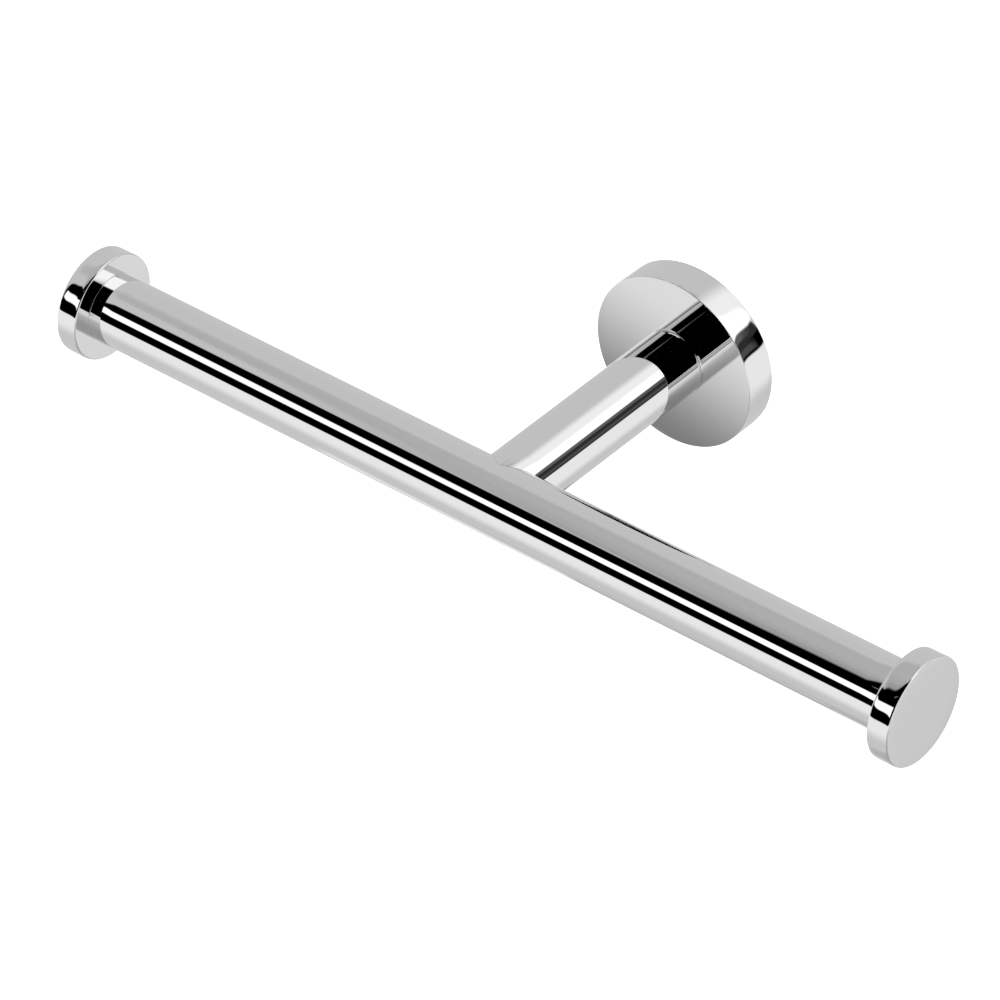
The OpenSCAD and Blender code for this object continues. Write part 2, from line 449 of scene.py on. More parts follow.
class Shell:
    """The skin of one solid piece, gathered from sheets of points that meet at their edges."""

    def __init__(self, name: str) -> None:
        """Starts an empty skin.

        Args:
            name: The name of the piece.
        """
        self.name = name
        self._points: list[np.ndarray] = []
        self._quads: list[np.ndarray] = []
        self._count = 0

    def add_sheet(self, sheet: np.ndarray, bores: Sequence[Bore] = ()) -> None:
        """Adds a grid of points with a face between each four neighbours.

        Args:
            sheet: Points in millimetres, as rows by columns by 3.
            bores: The holes through the walls that the sheet makes.
        """
        rows, columns = sheet.shape[:2]
        index = np.arange(rows * columns).reshape(rows, columns) + self._count
        quads = np.stack([index[:-1, :-1], index[1:, :-1], index[1:, 1:], index[:-1, 1:]], axis=-1)
        keep = np.ones(quads.shape[:2], bool)
        for bore in bores:
            for block, _ in (bore.outer, bore.inner):
                keep[block.faces()] = False
        self._quads.append(quads[keep])
        self._points.append(sheet.reshape(-1, 3))
        self._count += rows * columns
        for bore in bores:
            for patch in bore.sheets(sheet):
                self.add_sheet(patch)

    def piece(self, replaced: str, material: Material) -> Object:
        """Makes the piece, joins its sheets where they meet and turns its faces outwards.

        Args:
            replaced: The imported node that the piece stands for.
            material: What it is made of.

        Returns:
            The finished object, which rides on the root body.
        """
        mesh = bpy.data.meshes.new(self.name)
        mesh.from_pydata(np.concatenate(self._points) * MM, [], np.concatenate(self._quads).tolist())
        skin = bmesh.new()
        skin.from_mesh(mesh)
        bmesh.ops.remove_doubles(skin, verts=skin.verts, dist=MERGE_WITHIN * MM)
        bmesh.ops.delete(skin, geom=[v for v in skin.verts if not v.link_faces], context="VERTS")
        bmesh.ops.recalc_face_normals(skin, faces=skin.faces)
        open_edges = sum(not edge.is_manifold for edge in skin.edges)
        skin.to_mesh(mesh)
        skin.free()
        mesh.polygons.foreach_set("use_smooth", [True] * len(mesh.polygons))
        mesh.set_sharp_from_angle(angle=math.radians(SHARP_ANGLE))
        mesh.materials.append(material)
        made = add_object(self.name, mesh)
        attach(made, "root")
        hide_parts(replaced)
        log.info("%s: %d faces, %d open edges, stands for %s", self.name, len(mesh.polygons), open_edges,
                 replaced)
        return made


class Outline:
    """The outline of a turned piece, gathered from stretches that have names."""

    def __init__(self) -> None:
        """Starts an empty outline."""
        self._stretches: list[np.ndarray] = []
        self._firsts: dict[str, int] = {}
        self._count = 0

    def add(self, name: str, radius: ArrayLike, along: ArrayLike) -> None:
        """Adds a stretch of points.

        Args:
            name: The stretch's name.
            radius: Their radii, or the one that they share.
            along: Their places along the axis, or the one that they share.
        """
        radius, along = np.broadcast_arrays(np.atleast_1d(radius), np.atleast_1d(along))
        self._firsts[name] = self._count
        self._stretches.append(np.stack([radius, along], axis=1).astype(float))
        self._count += len(radius)

    def points(self, closed: bool = False) -> np.ndarray:
        """All the points (r, s), with the first one again at the end where the outline is closed."""
        points = np.concatenate(self._stretches)
        return np.concatenate([points, points[:1]]) if closed else points

    def row(self, name: str, number: int = 0) -> int:
        """The row of a turned sheet that the stretch's point of that number gives."""
        return self._firsts[name] + number


def turned(outline: np.ndarray, turning: Turning, axis_y: float = 0.0, seam: float = 0.0) -> np.ndarray:
    """Carries an outline round its axis.

    A point (r, s) at the angle a goes to r cos a and r sin a across the axis, and s along it. Along the bar
    that is x = s, y = axis_y + r cos a and z = r sin a. Out of the wall it is x = r cos a, y = -s and
    z = r sin a.

    Args:
        outline: Points (r, s) in millimetres.
        turning: The axis.
        axis_y: Where the axis of the bar's pieces lies.
        seam: The angle where the sheet starts and ends, in degrees.

    Returns:
        A sheet with a row for each point, whose last column lies on its first.
    """
    angle = math.radians(seam) + np.linspace(0, 2 * math.pi, TURN_STEPS + 1)
    radius, along = outline[:, :1], outline[:, 1:]
    sideways = radius * np.cos(angle)
    upward = radius * np.sin(angle)
    along = np.broadcast_to(along, sideways.shape)
    if turning is Turning.ALONG_THE_BAR:
        return np.stack([along, axis_y + sideways, upward], axis=-1)
    return np.stack([sideways, -along, upward], axis=-1)


def quarter() -> np.ndarray:
    """Angles from 0 to 90 degrees, in radians, for a rounded edge."""
    return np.linspace(0, math.pi / 2, ROUND_STEPS + 1)


def between(start: float, end: float, count: int) -> np.ndarray:
    """So many evenly spaced places between start and end, without these two."""
    return np.linspace(start, end, count + 2)[1:-1]


def towards(start: float, end: float, count: int) -> np.ndarray:
    """So many places after start, closer and closer together up to just short of end."""
    gaps = np.geomspace(abs(end - start), NEAR_THE_EDGE, count + 1)[1:]
    return end - math.copysign(1.0, end - start) * gaps


@dataclass(frozen=True)
class BuffedRim:
    """The rim of a turned disc after buffing, with rounded edges and a little wear towards them."""

    radius: float
    start: float
    end: float
    start_round: float
    end_round: float
    drop: float
    power: float = 5.0

    def radius_at(self, along: np.ndarray) -> np.ndarray:
        """Works out the rim's radius.

        With u from -1 at the start to 1 at the end, it is R - drop |u|^power. Within the rounding e of an
        edge that is g away, it is less by e - sqrt(e^2 - (e - g)^2).

        Args:
            along: Places along the axis.

        Returns:
            The radius at each of them.
        """
        share = 2 * (along - self.start) / (self.end - self.start) - 1
        radius = self.radius - self.drop * np.abs(share) ** self.power
        for gap, rounding in ((along - self.start, self.start_round), (self.end - along, self.end_round)):
            inside = np.clip(rounding - gap, 0, rounding)
            radius = radius - rounding + np.sqrt(rounding ** 2 - inside ** 2)
        return radius

    def stations(self, middle: np.ndarray) -> np.ndarray:
        """Lists places along the axis where the rim's outline needs points.

        Args:
            middle: Those between the two roundings.

        Returns:
            Those and the ones in the roundings, from the start to the end.
        """
        low = self.start + self.start_round * (1 - np.cos(quarter()))
        high = self.end - self.end_round * (1 - np.cos(quarter()[::-1]))
        return np.concatenate([low, middle, high])

    def face_edge(self) -> float:
        """The radius where the rounding at the end meets the face."""
        return self.radius - self.drop - self.end_round


def flat_lift(missing: int, height: float) -> Lift:
    """A lift onto the flat face where the missing coordinate has the given value."""
    return lambda flat: np.insert(flat, missing, height, axis=-1)


def round_lift(missing: int, across: int, radius: float, middle: float, side: int) -> Lift:
    """A lift onto a cylinder, whose missing coordinate is middle + side sqrt(R^2 - across^2).

    Args:
        missing: The number of the missing coordinate.
        across: The number of the flat coordinate that runs across the cylinder.
        radius: The cylinder's radius.
        middle: Where the cylinder's axis lies on the missing coordinate.
        side: 1 for the high side of the cylinder, -1 for the low one.

    Returns:
        The lift.
    """
    place = across - int(across > missing)

    def onto_cylinder(flat: np.ndarray) -> np.ndarray:
        """Puts the missing coordinate in at points that have the other two."""
        height = middle + side * np.sqrt(radius ** 2 - flat[..., place] ** 2)
        return np.insert(flat, missing, height, axis=-1)

    return onto_cylinder


@dataclass
class WallFixing:
    """The rose on the wall, with the plate and the grub screw that it hides."""

    rose_r: float = measured(lambda: node_radius("wall_rose", Turning.OUT_OF_THE_WALL))
    rose_depth: float = measured(lambda: node_reach("wall_rose").max())
    rose_wall: float = 3.4
    rose_face_t: float = 2.6
    face_round: float = 0.15
    wall_round: float = 0.3
    rim_drop: float = 0.12
    rim_steps: int = 7
    face_drop: float = 0.01
    face_power: float = 30.0
    face_steps: int = 14
    bolt_hole_r: float = 2.75
    pin_hole_r: float = 1.05
    pin_z: float = measured(lambda: np.mean(node_span("locating_pin"), axis=0)[Z])
    pin_opening: Opening = Opening((-2.0, -1.0, 0.0, 1.0, 2.0), 22)
    grub_hole_r: float = 2.05
    grub_s: float = measured(lambda: node_reach("rose_grub_screw").mean())
    grub_bevel: float = 0.15
    grub_opening: Opening = Opening((-1.3, -0.8, 0.0, 0.8, 1.6), 8)
    plate_r: float = measured(lambda: node_radius("wall_plate", Turning.OUT_OF_THE_WALL))
    plate_depth: float = measured(lambda: node_reach("wall_plate").max())
    plate_base_t: float = 1.6
    plate_rim_t: float = 2.7
    plate_edge_bevel: float = 0.15
    plate_rim_bevel: float = 0.5
    groove_depth: float = 0.9
    groove_w: float = 2.6
    fixing_hole_r: float = 2.5
    fixing_spacing: float = 28.0
    fixing_opening: Opening = Opening((-1.3, -0.8, 0.0, 0.8, 1.3), 16)

    def face_at(self, radius: np.ndarray) -> np.ndarray:
        """How far the rose's face stands from the wall, s = depth - drop (r / edge)^power."""
        edge = self.rose_r - self.rim_drop - self.face_round
        return self.rose_depth - self.face_drop * (radius / edge) ** self.face_power

    def rose(self, chrome: Material) -> Object:
        """Builds the chromed rose: a shallow cup that is open to the wall.

        Its outline runs from the bolt hole across the face, round the rim to the wall and back through the
        hollow. The grub screw's hole goes through the side underneath, and the pin's through the face.

        Args:
            chrome: What it is made of.

        Returns:
            The rose.
        """
        inner_r = self.rose_r - self.rose_wall
        hollow = self.rose_depth - self.rose_face_t
        grub_rows = self.grub_opening.places(self.grub_s, self.grub_hole_r)
        pin_rows = self.pin_opening.places(self.pin_z, self.pin_hole_r)
        rim = BuffedRim(self.rose_r, 0.0, self.rose_depth - self.face_drop, self.wall_round,
                        self.face_round, self.rim_drop)
        front_s = towards(grub_rows[-1], rim.end - rim.end_round, self.rim_steps)
        rim_s = rim.stations(np.concatenate([grub_rows, front_s]))[::-1]
        outer_r = towards(pin_rows[-1], rim.face_edge(), self.face_steps)
        face_r = np.concatenate([[self.bolt_hole_r], pin_rows, outer_r])
        outline = Outline()
        outline.add("face", face_r, self.face_at(face_r))
        outline.add("rim", rim.radius_at(rim_s), rim_s)
        outline.add("hollow", inner_r, [0.0, *grub_rows, hollow])
        outline.add("back", [*pin_rows[::-1], self.bolt_hole_r], hollow)
        sheet = turned(outline.points(closed=True), Turning.OUT_OF_THE_WALL)
        rim_first = int(np.argmax(rim_s == grub_rows[-1]))
        rim_block = self.grub_opening.block(outline.row("rim", rim_first), BELOW)
        hollow_block = self.grub_opening.block(outline.row("hollow", 1), BELOW)
        face_block = self.pin_opening.block(outline.row("face", 1), ABOVE)
        back_block = self.pin_opening.block(outline.row("back"), ABOVE)

        def onto_rim(flat: np.ndarray) -> np.ndarray:
            """Puts z in at points (x, y) of the rim's underside."""
            radius = rim.radius_at(-flat[..., 1])
            return np.insert(flat, Z, -np.sqrt(radius ** 2 - flat[..., 0] ** 2), axis=-1)

        def onto_face(flat: np.ndarray) -> np.ndarray:
            """Puts y in at points (x, z) of the face."""
            return np.insert(flat, Y, -self.face_at(np.linalg.norm(flat, axis=-1)), axis=-1)

        grub_hole = Bore((X, Y), (0.0, -self.grub_s), self.grub_hole_r, (rim_block, onto_rim),
                         (hollow_block, round_lift(Z, X, inner_r, 0.0, -1)), self.grub_bevel)
        pin_hole = Bore((X, Z), (0.0, self.pin_z), self.pin_hole_r, (face_block, onto_face),
                        (back_block, flat_lift(Y, -hollow)))
        shell = Shell("rose")
        shell.add_sheet(sheet, [grub_hole, pin_hole])
        return shell.piece("wall_rose", chrome)

    def plate(self, zinc: Material) -> Object:
        """Builds the pressed plate: a dish with a grooved rim and two fixing holes, one above the other.

        Args:
            zinc: What it is made of.

        Returns:
            The plate.
        """
        reach = self.fixing_spacing / 2
        hole_rows = self.fixing_opening.places(reach, self.fixing_hole_r)
        back_r = self.plate_r - self.plate_edge_bevel
        front_r = self.plate_r - self.plate_rim_bevel
        groove_r = self.plate_r - self.groove_depth
        inner_r = self.plate_r - self.plate_rim_t
        outline = Outline()
        outline.add("back", [0.0, *hole_rows, back_r], 0.0)
        outline.add("rim", [self.plate_r, self.plate_r, groove_r, self.plate_r, self.plate_r, front_r],
                    [self.plate_edge_bevel, self.grub_s - self.groove_w / 2, self.grub_s,
                     self.grub_s + self.groove_w / 2, self.plate_depth - self.plate_rim_bevel,
                     self.plate_depth])
        outline.add("lip", [inner_r + self.plate_edge_bevel, inner_r, inner_r],
                    [self.plate_depth, self.plate_depth - self.plate_edge_bevel, self.plate_base_t])
        outline.add("dish", [*hole_rows[::-1], 0.0], self.plate_base_t)
        sheet = turned(outline.points(), Turning.OUT_OF_THE_WALL)
        holes = []
        for height, column in ((reach, ABOVE), (-reach, BELOW)):
            back = self.fixing_opening.block(outline.row("back", 1), column)
            dish = self.fixing_opening.block(outline.row("dish"), column)
            holes.append(Bore((X, Z), (0.0, height), self.fixing_hole_r, (back, flat_lift(Y, 0.0)),
                              (dish, flat_lift(Y, -self.plate_base_t)), self.plate_edge_bevel))
        shell = Shell("plate")
        shell.add_sheet(sheet, holes)
        return shell.piece("wall_plate", zinc)


@dataclass
class Arm:
    """The tube between the rose and the bar, coped at its front end to sit on the bar."""

    radius: float = measured(lambda: node_radius("arm_tube", Turning.OUT_OF_THE_WALL))
    plug_r: float = measured(lambda: node_radius("arm_rear_plug", Turning.OUT_OF_THE_WALL))
    rear: float = measured(lambda: node_reach("arm_tube").min())
    bar_reach: float = measured(lambda: node_reach("right_end_cap").mean())
    bar_r: float = measured(lambda: node_radius("bar_tube", Turning.ALONG_THE_BAR))
    seat_gap: float = 0.02
    wear_length: float = 0.85
    wear_depth: float = 0.16
    wear_steps: int = 16
    rear_relief: float = 0.07
    contact_w: float = 0.5
    side_steps: int = 11
    cope_round: float = 0.04

    def cope_at(self, radius: np.ndarray | float, angle: np.ndarray) -> np.ndarray:
        """How far from the wall the cope is, s = reach - sqrt((R + gap)^2 - (r sin a)^2)."""
        seat = self.bar_r + self.seat_gap
        return self.bar_reach - np.sqrt(seat ** 2 - (radius * np.sin(angle)) ** 2)

    def tube(self, chrome: Material) -> Object:
        """Builds the tube: worn rear edge, outside, rounded edge of the cope, cope and inside.

        Buffing has worn the outside towards its rear end: at a share u of the wear's length from that end
        the radius is R - depth (1 - u)^2. The rear end touches the rose with a ring at the inside, and
        stands off by the relief outside that ring, which shows as a fine dark line.

        Args:
            chrome: What it is made of.

        Returns:
            The tube.
        """
        angle = np.linspace(0, 2 * math.pi, TURN_STEPS + 1)[None, :]
        turn = quarter()[:, None]
        share = np.linspace(0, 1, self.wear_steps + 1)[:, None]
        rear_r = self.radius - self.wear_depth * (1 - share) ** 2
        rear_s = self.rear + self.rear_relief + self.wear_length * share
        edge_r = self.radius - self.cope_round * (1 - np.cos(turn))
        edge_s = self.cope_at(edge_r, angle) - self.cope_round * (1 - np.sin(turn))
        side_s = rear_s[-1:] + (edge_s[:1] - rear_s[-1:]) * between(0, 1, self.side_steps)[:, None]
        inner_r = self.plug_r + PLUG_CLEARANCE
        contact_r = inner_r + self.contact_w
        bands = [(rear_r, rear_s),
                 (self.radius, side_s),
                 (edge_r, edge_s),
                 (inner_r, self.cope_at(inner_r, angle)),
                 (inner_r, self.rear),
                 (contact_r, self.rear),
                 (contact_r, rear_s[:1]),
                 (rear_r[:1], rear_s[:1])]
        sheets = []
        for radius, distance in bands:
            radius, distance, around = np.broadcast_arrays(radius, distance, angle)
            sheets.append(np.stack([radius * np.cos(around), -distance, radius * np.sin(around)], axis=-1))
        shell = Shell("arm")
        shell.add_sheet(np.concatenate(sheets))
        return shell.piece("arm_tube", chrome)


@dataclass
class RollBar:
    """The bar that carries the rolls, and the cap at each of its ends."""

    radius: float = measured(lambda: node_radius("bar_tube", Turning.ALONG_THE_BAR))
    core_r: float = measured(lambda: node_radius("bar_core", Turning.ALONG_THE_BAR))
    half_length: float = measured(lambda: node_span("bar_tube")[1][X])
    axis_y: float = measured(lambda: -node_reach("right_end_cap").mean())
    side_steps: int = 18
    end_round: float = 0.2
    bolt_hole_r: float = 2.75
    bolt_opening: Opening = Opening((-1.6, -0.8, 0.0, 0.8, 1.6), 32)
    cap_r: float = measured(lambda: node_radius("right_end_cap", Turning.ALONG_THE_BAR))
    cap_end: float = measured(lambda: node_span("right_end_cap")[1][X])
    cap_round: float = 0.4
    rim_drop: float = 0.12
    rim_steps: int = 24
    face_drop: float = 0.05
    face_power: float = 8.0
    face_steps: int = 14
    inner_face_steps: int = 8
    flat_r: float = measured(lambda: node_radius("right_end_cap", Turning.ALONG_THE_BAR) / 3)
    stud_hole_r: float = 3.05
    stud_hole_depth: float = 4.4
    stud_lead: float = 0.5

    def tube(self, chrome: Material) -> Object:
        """Builds the tube, with a hole for the tie bolt in the side that faces the wall.

        Args:
            chrome: What it is made of.

        Returns:
            The tube.
        """
        hole_rows = self.bolt_opening.places(0.0, self.bolt_hole_r)
        end = self.half_length
        inner_r = self.core_r + PLUG_CLEARANCE
        edge_r = self.radius - self.end_round * (1 - np.sin(quarter()))
        edge_s = self.end_round * (1 - np.cos(quarter()))
        run = between(hole_rows[-1], end - self.end_round, self.side_steps)
        outline = Outline()
        outline.add("left edge", edge_r, -end + edge_s)
        outline.add("left side", self.radius, -run[::-1])
        outline.add("outer hole", self.radius, hole_rows)
        outline.add("right side", self.radius, run)
        outline.add("right edge", edge_r[::-1], end - edge_s[::-1])
        outline.add("right bore", inner_r, end)
        outline.add("inner hole", inner_r, hole_rows[::-1])
        outline.add("left bore", inner_r, -end)
        sheet = turned(outline.points(closed=True), Turning.ALONG_THE_BAR, self.axis_y, seam=180.0)
        outer = self.bolt_opening.block(outline.row("outer hole"), AT_THE_BACK)
        inner = self.bolt_opening.block(outline.row("inner hole"), AT_THE_BACK)
        bolt_hole = Bore((X, Z), (0.0, 0.0), self.bolt_hole_r,
                         (outer, round_lift(Y, Z, self.radius, self.axis_y, 1)),
                         (inner, round_lift(Y, Z, inner_r, self.axis_y, 1)))
        shell = Shell("bar")
        shell.add_sheet(sheet, [bolt_hole])
        return shell.piece("bar_tube", chrome)

    def cap(self, side: int, chrome: Material) -> Object:
        """Builds a cap: a turned disc with a tapped hole in the face that meets the bar.

        Its outer face is flat in the middle and stands at s = end - drop (r / edge)^power outside that.

        Args:
            side: 1 for the right cap, -1 for the left one.
            chrome: What it is made of.

        Returns:
            The cap.
        """
        mouth = self.half_length
        depth = mouth + self.stud_hole_depth
        rim = BuffedRim(self.cap_r, mouth, self.cap_end - self.face_drop, self.cap_round, self.cap_round,
                        self.rim_drop)
        rim_s = rim.stations(between(mouth + self.cap_round, rim.end - self.cap_round, self.rim_steps))
        inner_r = towards(self.radius, rim.face_edge(), self.inner_face_steps)
        outer_r = towards(self.flat_r, rim.face_edge(), self.face_steps)[::-1]
        outer_s = self.cap_end - self.face_drop * (outer_r / rim.face_edge()) ** self.face_power
        outline = Outline()
        outline.add("stud hole",
                    [0.0, self.stud_hole_r, self.stud_hole_r, self.stud_hole_r + self.stud_lead],
                    [depth, depth, mouth + self.stud_lead, mouth])
        outline.add("inner face", [self.radius, *inner_r], mouth)
        outline.add("rim", rim.radius_at(rim_s), rim_s)
        outline.add("outer face", outer_r, outer_s)
        outline.add("middle", [self.flat_r, 0.0], self.cap_end)
        sheet = turned(outline.points(), Turning.ALONG_THE_BAR, self.axis_y)
        sheet[..., X] *= side
        shell = Shell("right_cap" if side > 0 else "left_cap")
        shell.add_sheet(sheet)
        return shell.piece("right_end_cap" if side > 0 else "left_end_cap", chrome)


def dress_packed_nodes(finishes: dict[str, Material]) -> None:
    """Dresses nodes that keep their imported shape.

    Args:
        finishes: The material of each node, in place of the plain one that it was packed with.
    """
    for name, material in finishes.items():
        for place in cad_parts[name].material_slots:
            place.material = material
        log.info("%s: packed shape, %s", name, material.name)


def direction(azimuth: float, elevation: float) -> Vector:
    """The way from the object to its surroundings, (sin a cos e, -cos a cos e, sin e).

    Args:
        azimuth: Degrees round the object, with 0 in front of the wall and 90 to the right.
        elevation: Degrees above the level.

    Returns:
        The way, with a length of 1.
    """
    azimuth, elevation = math.radians(azimuth), math.radians(elevation)
    return Vector((math.sin(azimuth) * math.cos(elevation), -math.cos(azimuth) * math.cos(elevation),
                   math.sin(elevation)))


def soft_cover(tree: NodeTree, place: NodeSocket, edges: Sequence[tuple[Vector, float]],
               soft: float) -> NodeSocket:
    """Adds the nodes that say how far a point lies inside a convex shape with soft edges.

    Across an edge the dot product of the point and the edge's inward normal passes the edge's offset. A
    smooth step over that for each edge, all of them multiplied, makes the shape.

    Args:
        tree: The node tree.
        place: The point.
        edges: The inward normal and the offset of each edge.
        soft: The width of the smooth steps, in the unit of the point.

    Returns:
        A socket that is 1 inside and 0 outside.
    """
    cover = None
    for normal, offset in edges:
        inside = add_node(tree, "ShaderNodeVectorMath", {1: normal}, {0: place}, operation="DOT_PRODUCT")
        step = add_node(tree, "ShaderNodeMapRange",
                        {"From Min": offset - soft / 2, "From Max": offset + soft / 2},
                        {"Value": inside.outputs["Value"]}, interpolation_type="SMOOTHSTEP").outputs[0]
        if cover is None:
            cover = step
        else:
            product = add_node(tree, "ShaderNodeMath", links={0: cover, 1: step}, operation="MULTIPLY")
            cover = product.outputs[0]
    return cover


@dataclass(frozen=True)
class Band:
    """A change of the studio's light from one elevation to a higher one, and the level above it."""

    low: float
    high: float
    level: float


@dataclass(frozen=True)
class Panel:
    """A wall, lamp or black flag of the studio, far away from the object.

    Its corners, once round, are azimuths and elevations as seen from the object. Its edges run straight
    between them and are soft over an angle.
    """

    name: str
    corners: tuple[tuple[float, float], ...]
    level: float
    soft: float

    def edges(self) -> list[tuple[Vector, float]]:
        """Finds the planes through the object and the panel's edges.

        Returns:
            The inward normal of each plane, with its offset, which is 0.
        """
        rays = [direction(*corner) for corner in self.corners]
        middle = sum(rays, Vector())
        normals = [ray.cross(following).normalized()
                   for ray, following in zip(rays, rays[1:] + rays[:1])]
        return [(normal if normal.dot(middle) > 0 else -normal, 0.0) for normal in normals]


def stage_quad(name: str, corners: ArrayLike, material: Material) -> Object:
    """Builds a stage piece with a single flat face.

    Args:
        name: Its name.
        corners: Its four corners, once round, in millimetres.
        material: What it is made of.

    Returns:
        The stage piece.
    """
    mesh = bpy.data.meshes.new(name)
    mesh.from_pydata(np.array(corners) * MM, [], [(0, 1, 2, 3)])
    mesh.materials.append(material)
    made = add_object(name, mesh)
    return made


@dataclass(frozen=True)
class NearCard:
    """A card that stands so near that the chrome sees other parts of it from other places.

    Its corners, once round, are in millimetres. Its light changes from the first level to the last between
    two distances from the edge of the first two corners. The card glows though it is no lamp: it stands for
    a pale surface near the object, and its change of level is painted light and shade. Only mirrored rays
    meet it, so it is in nobody's way and throws no light.
    """

    name: str
    corners: tuple[tuple[float, float, float], ...]
    first_level: float
    last_level: float
    change_from: float
    change_to: float
    soft: float

    def stand(self) -> Object:
        """Builds the card.

        Returns:
            The card, whose edges fade out inwards.
        """
        corners = [Vector(corner) * MM for corner in self.corners]
        facing = (corners[1] - corners[0]).cross(corners[3] - corners[0]).normalized()
        edges = []
        for corner, following in zip(corners, corners[1:] + corners[:1]):
            inward = facing.cross(following - corner).normalized()
            edges.append((inward, inward.dot(corner) + self.soft * MM / 2))
        material = blank_material(self.name)
        material.cycles.emission_sampling = "NONE"
        tree = material.node_tree
        place = add_node(tree, "ShaderNodeTexCoord").outputs["Object"]
        cover = soft_cover(tree, place, edges, self.soft * MM)
        inward = edges[0][0]
        first_edge = inward.dot(corners[0])
        across = add_node(tree, "ShaderNodeVectorMath", {1: inward}, {0: place}, operation="DOT_PRODUCT")
        # Painted light and shade: the glow runs from the dim first level to the bright last one.
        level = add_node(tree, "ShaderNodeMapRange",
                         {"From Min": first_edge + self.change_from * MM,
                          "From Max": first_edge + self.change_to * MM,
                          "To Min": self.first_level, "To Max": self.last_level},
                         {"Value": across.outputs["Value"]}, interpolation_type="SMOOTHSTEP")
        light = add_node(tree, "ShaderNodeEmission", {"Color": WHITE}, {"Strength": level.outputs[0]})
        clear = add_node(tree, "ShaderNodeBsdfTransparent")
        mix = add_node(tree, "ShaderNodeMixShader",
                       links={0: cover, 1: clear.outputs[0], 2: light.outputs[0]})
        add_node(tree, "ShaderNodeOutputMaterial", links={"Surface": mix.outputs[0]})
        made = stage_quad(self.name, self.corners, material)
        for ray in ("camera", "diffuse", "transmission", "volume_scatter", "shadow"):
            setattr(made, f"visible_{ray}", False)
        return made


